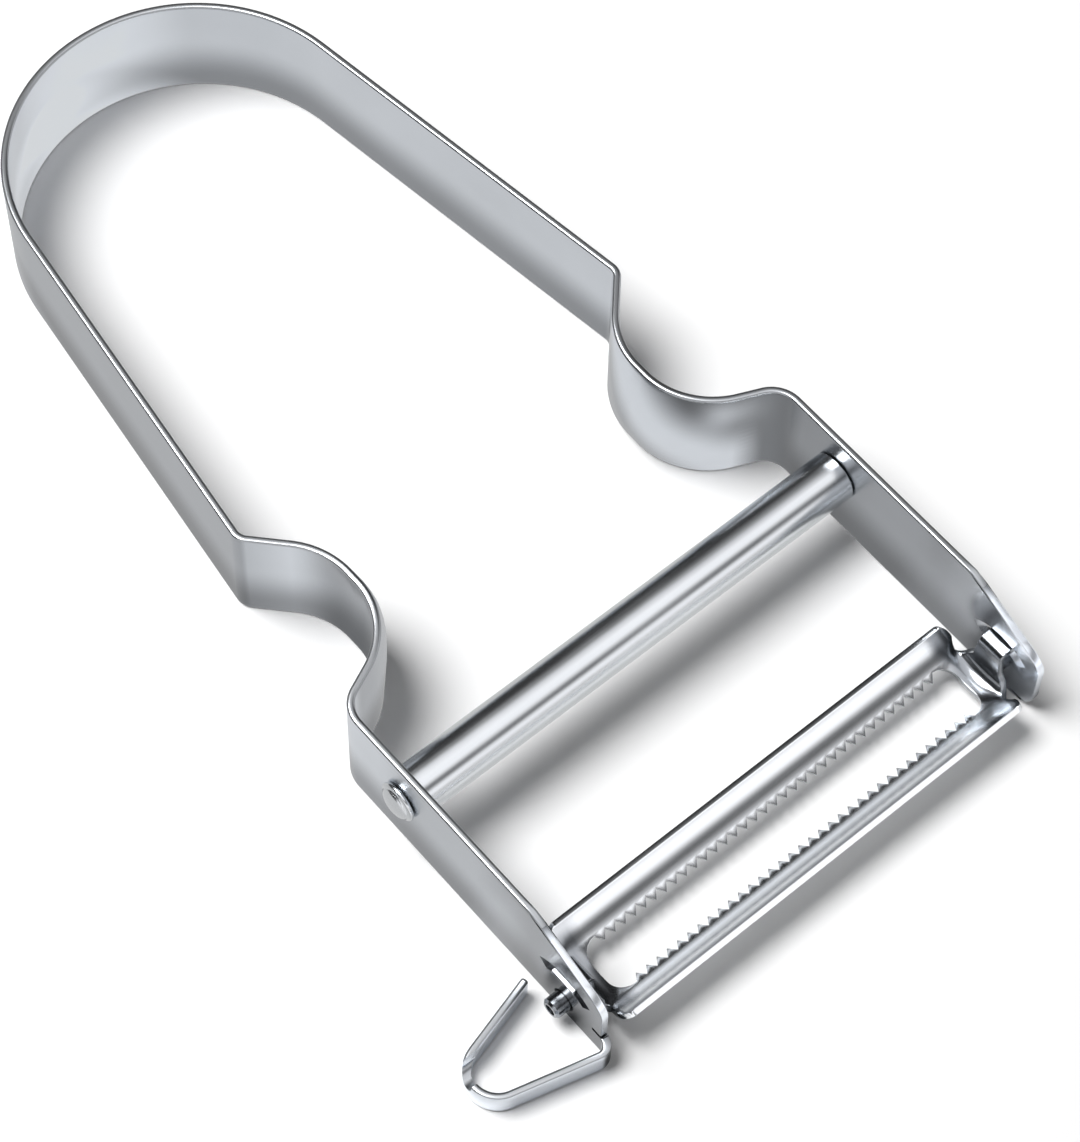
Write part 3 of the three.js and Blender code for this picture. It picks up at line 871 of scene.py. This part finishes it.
def right_tone(down, height, painted_shade):
    shoulder = ease(down, *RIGHT_SHOULDER)
    off_cup = ((down - CUP_DOWN) / CUP_LENGTH) ** 2 + ((height - CUP_HEIGHT) / CUP_WIDTH) ** 2
    wanted = tone_at(down + height, STREAK) * (1 - shoulder) + RIGHT_SHOULDER_TONE * shoulder
    wanted += CUP_TONE * math.exp(-off_cup)
    tone = 1 + tone_at(down, RIGHT_NOTCH_SHARE) * (wanted / painted_shade - 1)
    return tone * tone_at(down, RIGHT_ARM) * tone_at(down, RIGHT_TIP)


print("tone in the cup:", round(right_tone(CUP_DOWN, CUP_HEIGHT, 1), 3))

# %% [markdown]
# ## The left side's painted light and shade
# The camera sees the outside of the left arm and the inside of the left notch. The notch's first leg gets
# painted light, its hollow a little painted shade and its shoulder painted light again. The arm is painted
# darker towards the tip, and the loop is painted pale, most of all along its lower edge, which cancels the
# shade it would mirror from the table.

# %% Work out the left side's tones
# painted light and shade in the left notch and on the arm, and painted light on the loop's lower edge
LEFT_LEG = ((-0.9, 0), (0.2, 0.9), (2, 0.9), (7, 0))
LEFT_HOLLOW = ((3, 0), (6, -0.12), (11, -0.12), (15, 0))
LEFT_SHOULDER = ((11, 0), (14, 0.35), (24, 0.35), (30, 0))
LEFT_TIP = ((38, 1), (47, 0.35))
LOOP_ROOT = (22.9, 23.5)
LOOP_TONE = ((0.7, 1.0032), (2.5, 0.76))


def left_tone(left, down, height, painted_shade):
    notch = sum(tone_at(down, stops) for stops in (LEFT_LEG, LEFT_HOLLOW, LEFT_SHOULDER))
    tone = (1 + notch) * tone_at(down, LEFT_TIP)
    return tone + ease(left, *LOOP_ROOT) * (tone_at(height, LOOP_TONE) / painted_shade - tone)


print("tone at the left tip:", round(left_tone(0, -tip_y / MM, 0, 1), 3))

# %% [markdown]
# ## Painting
# Each point of the strip gets its painted tone of light and shade. The cut faces of the tips, which lie
# within the sheet's thickness, get a painted highlight of their own.

# %% Paint the strip's light and shade
# painted highlights on the cut faces of the tips
RIGHT_CUT_TONE = 1.9
LEFT_CUT_TONE = 1.6
SHEET_CORE = 0.35 * MM

painted_light_marks = bow.data.attributes.new("tone", "FLOAT", "POINT")
for vertex in bow.data.vertices:
    x, y, z = vertex.co / MM
    on_right = vertex.co.x > hinge.x
    painted_shade = painted_shade_at(vertex.co)
    tone = right_tone(-y, z, painted_shade) if on_right else left_tone(-x, -y, z, painted_shade)
    off_core = abs(abs(vertex.co.x - hinge.x) - ARM_HALF_SPAN)
    if off_core < SHEET_CORE and vertex.co.y < slope_top_y and vertex.co.z > loop_top:
        tone = RIGHT_CUT_TONE if on_right else LEFT_CUT_TONE
    painted_light_marks.data[vertex.index].value = tone
print("painted points of the strip:", len(painted_light_marks.data))

# %% [markdown]
# ## Steel
# All three pieces are bare steel, so what one sees is mostly the room. The finish lies in how sharp the
# reflections are: the strip is satin-polished along its length, the rod and the blade are bright. Each
# steel is built up in layers. A layer is a few nodes that feed the metal's colour, roughness or bump.

# %% Start the three steels
def add_node(tree, kind, inputs=(), **settings):
    node = tree.nodes.new("ShaderNode" + kind)
    for name, value in settings.items():
        setattr(node, name, value)
    for name, value in dict(inputs).items():
        if isinstance(value, bpy.types.NodeSocket):
            tree.links.new(value, node.inputs[name])
        else:
            node.inputs[name].default_value = value
    return node


def start_steel(piece, name):
    material = bpy.data.materials.new(name)
    material.use_nodes = True
    material.node_tree.nodes["Principled BSDF"].inputs["Metallic"].default_value = 1
    piece.data.materials.clear()
    piece.data.materials.append(material)
    print(piece.name, "is made of", material.name)
    return material.node_tree


strip_steel = start_steel(bow, "satin_strip")
rod_steel = start_steel(bar, "polished_rod")
blade_steel = start_steel(blade, "bright_blade")

# %% [markdown]
# ## Draw lines and smudges
# Fine draw lines and faint smudges keep the metal from looking like plastic. The lines are noise that is
# squeezed across the piece, the smudges are wider noise. Together they vary the roughness, the lines give
# a very shallow bump, and the smudges dim the tint a little.

# %% Polish the steels
LINE_DETAIL = 3
SMUDGE_SCALE = 90
SMUDGE_DETAIL = 4
SMUDGE_START, SMUDGE_END = 0.3, 0.7
SMUDGED_TINT = 0.93
GRAIN_RANGE = (0.12, 0.38)
LINE_HEIGHT = 0.02 * MM


def map_range(tree, value, span, results, interpolation):
    settings = {"Value": value, "From Min": span[0], "From Max": span[1],
                "To Min": results[0], "To Max": results[1]}
    return add_node(tree, "MapRange", settings, interpolation_type=interpolation).outputs["Result"]


def colour_ramp(tree, value, stops, interpolation):
    node = add_node(tree, "ValToRGB", {"Fac": value})
    node.color_ramp.interpolation = interpolation
    while len(node.color_ramp.elements) < len(stops):
        node.color_ramp.elements.new(0.5)
    for element, (place, colour) in zip(node.color_ramp.elements, stops):
        element.position = place
        element.color = (*colour, 1)
    return node.outputs["Color"]


def noise(tree, places, scale, detail):
    return add_node(tree, "TexNoise", {"Vector": places, "Scale": scale, "Detail": detail}).outputs["Fac"]


def feed(tree, value, name):
    tree.links.new(value, tree.nodes["Principled BSDF"].inputs[name])


def polish(tree, tint, roughness, line_scale, line_depth):
    places = add_node(tree, "TexCoord").outputs["Object"]
    squeezed = add_node(tree, "Mapping", {"Vector": places, "Scale": line_scale}).outputs["Vector"]
    lines = noise(tree, squeezed, 1, LINE_DETAIL)
    smudges = noise(tree, places, SMUDGE_SCALE, SMUDGE_DETAIL)
    grain = add_node(tree, "Math", {0: lines, 1: smudges}, operation="MULTIPLY").outputs["Value"]
    dimmed = [value * SMUDGED_TINT for value in tint]
    tints = ((SMUDGE_START, dimmed), (SMUDGE_END, tint))
    bump = add_node(tree, "Bump", {"Height": lines, "Strength": line_depth, "Distance": LINE_HEIGHT})
    feed(tree, colour_ramp(tree, smudges, tints, "LINEAR"), "Base Color")
    feed(tree, map_range(tree, grain, GRAIN_RANGE, roughness, "LINEAR"), "Roughness")
    feed(tree, bump.outputs["Normal"], "Normal")
    print("roughness from", roughness[0], "to", roughness[1])


polish(strip_steel, (0.752, 0.788, 0.838), (0.25, 0.27), (60, 60, 5000), 0.008)
polish(rod_steel, (0.72, 0.74, 0.76), (0.2, 0.27), (60, 5000, 5000), 0.03)
polish(blade_steel, (0.87, 0.89, 0.91), (0.14, 0.19), (60, 4000, 4000), 0.03)

# %% [markdown]
# ## Painted shades
# The strip's tint also changes with the place as painted light and shade: darker towards the table and
# towards the blade, brighter on the handle's bend and its top, darker on the left side and lighter again at
# its far left. Each shade names a direction, a stretch along it and the tint's share at both its ends. The
# painted light and shade of the points comes on top. All of it has an upper limit, because no metal mirrors
# more light than it gets.

# %% Paint light and shade on the strip
BRIGHTEST = (0.92, 0.96, 1.0)
# painted shades: table and front shades, painted light on the bend and its top, painted shade and light
# across the left side
PAINTED_SHADES = (
    FRONT_SHADE,
    TABLE_SHADE,
    ((-0.6, 1, -1.8), (40.9 * MM, 53.9 * MM), (1.0, 2.3)),
    ((0, 1, 0), (53 * MM, 56.8 * MM), (1.0, 1.25)),
    ((1, 0, 0), (-21.8 * MM, -19.2 * MM), (2.0, 1.0)),
    ((1, 0, 0), (-13.5 * MM, -9 * MM), (0.615, 1.0)))


def fed_by(tree, name):
    return tree.nodes["Principled BSDF"].inputs[name].links[0].from_socket


def paint_light_and_shade(tree, shades):
    places = add_node(tree, "TexCoord").outputs["Object"]
    shares = [add_node(tree, "Attribute", attribute_name="tone").outputs["Fac"]]
    for towards, stretch, ends in shades:
        place = add_node(tree, "VectorMath", {0: places, 1: towards}, operation="DOT_PRODUCT")
        shares.append(map_range(tree, place.outputs["Value"], stretch, ends, "SMOOTHSTEP"))
    colour = fed_by(tree, "Base Color")
    for share in shares:
        scaled = add_node(tree, "VectorMath", {0: colour, "Scale": share}, operation="SCALE")
        colour = scaled.outputs["Vector"]
    limited = add_node(tree, "VectorMath", {0: colour, 1: BRIGHTEST}, operation="MINIMUM")
    feed(tree, limited.outputs["Vector"], "Base Color")
    print("shades on the strip:", len(shares))


paint_light_and_shade(strip_steel, PAINTED_SHADES)

# %% [markdown]
# ## Dull edges, and painted shade on edges and ends
# The marks on the strip's narrow edges and on the blade are turned into a darker, painted tint here, with a
# roughness of its own. On the strip's edges the darker tint is painted shade that dims their mirrored
# highlights, and on the blade it is a painted dark reflection. A Mix node goes from the polished metal to
# the dull and darker one by the mark's value.

# %% Dull the marked places and paint them darker
def roughen_and_paint_shade(tree, tint, roughness):
    mark = add_node(tree, "Attribute", attribute_name="marked").outputs["Fac"]
    tints = {"Factor": mark, 6: fed_by(tree, "Base Color"), 7: (*tint, 1)}
    roughs = {"Factor": mark, 2: fed_by(tree, "Roughness"), 3: roughness}
    feed(tree, add_node(tree, "Mix", tints, data_type="RGBA").outputs[2], "Base Color")
    feed(tree, add_node(tree, "Mix", roughs).outputs[0], "Roughness")
    print("dull tint", tint, "with roughness", roughness)


# painted shade on the strip's edges and painted dark reflections on the blade
roughen_and_paint_shade(strip_steel, (0.42, 0.435, 0.45), 0.28)
roughen_and_paint_shade(blade_steel, (0.3, 0.315, 0.335), 0.2)

# %% [markdown]
# ## The table
# The peeler lies on a white table that runs out of view on all sides. To the camera it is a pale diffuse
# surface with a trace of glow, so that it is white and still holds the soft shadows. Round the handle the
# metal mirrors it as a plain pale glow, because there the shadows would show in the strip as dark patches.

# %% Lay the table
TABLE_SIZE = 6
TABLE_GAP = 0.02 * MM
TABLE_WHITE = (0.9, 0.9, 0.9, 1)
SEEN_GLOW = 0.05
MIRRORED_GLOW = 0.72
HANDLE_END = (-43 * MM, -36 * MM)


def ray_kinds(tree):
    rays = add_node(tree, "LightPath").outputs
    glossy_or_glass = {0: rays["Is Glossy Ray"], 1: rays["Is Transmission Ray"]}
    mirrored = add_node(tree, "Math", glossy_or_glass, operation="MAXIMUM").outputs["Value"]
    return rays["Is Camera Ray"], mirrored


put_down_everything()
bpy.ops.mesh.primitive_plane_add(size=TABLE_SIZE, location=(0, 0, -TABLE_GAP))
table = bpy.context.object
table.name = "table"
white = bpy.data.materials.new("white_table")
white.use_nodes = True
tree = white.node_tree
tree.nodes.remove(tree.nodes["Principled BSDF"])
seen, mirrored = ray_kinds(tree)
amount = add_node(tree, "Math", {0: seen, 1: SEEN_GLOW}, operation="MULTIPLY").outputs["Value"]
matt = add_node(tree, "BsdfDiffuse", {"Color": TABLE_WHITE}).outputs["BSDF"]
seen_glow = add_node(tree, "Emission", {"Strength": amount}).outputs["Emission"]
both = add_node(tree, "AddShader", {0: matt, 1: seen_glow}).outputs["Shader"]
spot = add_node(tree, "TexCoord").outputs["Object"]
spot_y = add_node(tree, "SeparateXYZ", {"Vector": spot}).outputs["Y"]
at_handle = map_range(tree, spot_y, HANDLE_END, (0, 1), "SMOOTHSTEP")
share = add_node(tree, "Math", {0: mirrored, 1: at_handle}, operation="MULTIPLY").outputs["Value"]
mirrored_glow = add_node(tree, "Emission", {"Strength": MIRRORED_GLOW}).outputs["Emission"]
surface = add_node(tree, "MixShader", {"Fac": share, 1: both, 2: mirrored_glow}).outputs["Shader"]
tree.links.new(surface, tree.nodes["Material Output"].inputs["Surface"])
table.data.materials.append(white)
print("table:", size_of(table))

# %% [markdown]
# ## The room
# A dim ceiling fills the shadows. What the metal mirrors is drawn by height above the table: in front a
# bright sky with a dark band half way up, and behind a dark one that is bright only overhead. The rod and
# the blade need something dark to mirror, or they would be plain white. Each stop of a sky is a height,
# from 0 at the horizon to 1 overhead, and the brightness there.

# %% Draw the room
FRONT_SKY = (
    (0.0, 0.45), (0.1, 0.75), (0.18, 0.96), (0.34, 1.0), (0.42, 0.85), (0.488, 0.4),
    (0.56, 0.1), (0.65, 0.1), (0.727, 0.34), (0.78, 0.8), (0.83, 1.0))
BACK_SKY = ((0.0, 0.02), (0.6, 0.02), (0.8, 0.1), (0.87, 0.3), (0.93, 0.75), (0.98, 1.0))
SKY_BLUE = 1.02
SKY_STRENGTH = 1.3
FRONT_TO_BACK = (-0.12, 0.12)
CEILING_GREY = (0.1, 0.1, 0.1, 1)
PLAIN_WHITE = (1, 1, 1, 1)


def sky(tree, height, stops):
    colours = [(place, (value, value, value * SKY_BLUE)) for place, value in stops]
    return colour_ramp(tree, height, colours, "EASE")


world = bpy.data.worlds.new("studio")
bpy.context.scene.world = world
world.use_nodes = True
tree = world.node_tree
tree.nodes.clear()
direction = add_node(tree, "TexCoord").outputs["Generated"]
parts = add_node(tree, "SeparateXYZ", {"Vector": direction}).outputs
skies = {"Factor": map_range(tree, parts["Y"], FRONT_TO_BACK, (0, 1), "SMOOTHSTEP"),
         6: sky(tree, parts["Z"], FRONT_SKY), 7: sky(tree, parts["Z"], BACK_SKY)}
whole_sky = add_node(tree, "Mix", skies, data_type="RGBA").outputs[2]
studio = add_node(tree, "Background", {"Color": whole_sky, "Strength": SKY_STRENGTH}).outputs["Background"]
ceiling = add_node(tree, "Background", {"Color": CEILING_GREY}).outputs["Background"]
plain = add_node(tree, "Background", {"Color": PLAIN_WHITE}).outputs["Background"]
seen, mirrored = ray_kinds(tree)
fill = add_node(tree, "MixShader", {"Fac": mirrored, 1: ceiling, 2: studio}).outputs["Shader"]
room = add_node(tree, "MixShader", {"Fac": seen, 1: fill, 2: plain}).outputs["Shader"]
add_node(tree, "OutputWorld", {"Surface": room})
print("stops in the two skies:", len(FRONT_SKY), "and", len(BACK_SKY))

# %% [markdown]
# ## The lamp
# One large lamp at the back left throws the soft shadows towards the lower right. A disk far away gives
# them the same soft border all round, as a photographer's softbox does.

# %% Hang the lamp
LAMP_PLACE = (-0.38, 0.5, 1.24)
LAMP_AIM = Vector((0, -0.01, 0))
LAMP_WIDTH = 0.85
LAMP_POWER = 24

put_down_everything()
bpy.ops.object.light_add(type="AREA", location=LAMP_PLACE)
lamp = bpy.context.object
lamp.name = "soft_lamp"
lamp.data.shape = "DISK"
lamp.data.size = LAMP_WIDTH
lamp.data.energy = LAMP_POWER
lamp.rotation_euler = (LAMP_AIM - lamp.location).to_track_quat("-Z", "Y").to_euler()
print("lamp at", [round(value, 2) for value in lamp.location], "m,", lamp.data.energy, "W")

# %% [markdown]
# ## Camera
# The photograph was taken from the left front and well above, from far away with a long lens. Its place
# was fitted to the strip's two edges, the arms and the crossbar, so the render lies over the photograph.

# %% Set up the camera
EYE = Vector((-117.207, -150.688, 327.51)) * MM
BACKWARDS = Vector((-0.3280, -0.3630, 0.8722))
ROLL = math.radians(2.013)
LENS = 128.17
SENSOR = 36
NEAREST = 10 * MM

backwards = BACKWARDS.normalized()
level = Vector((0, 0, 1)).cross(backwards).normalized()
upright = backwards.cross(level)
right = level * math.cos(ROLL) + upright * math.sin(ROLL)
up = upright * math.cos(ROLL) - level * math.sin(ROLL)
camera_data = bpy.data.cameras.new("camera")
camera_data.sensor_fit = "HORIZONTAL"
camera_data.sensor_width = SENSOR
camera_data.lens = LENS
camera_data.clip_start = NEAREST
camera = bpy.data.objects.new("camera", camera_data)
camera.matrix_world = Matrix((right, up, backwards)).transposed().to_4x4()
camera.location = EYE
bpy.context.scene.collection.objects.link(camera)
bpy.context.scene.camera = camera
print("camera at", [round(value, 3) for value in camera.location], "m")
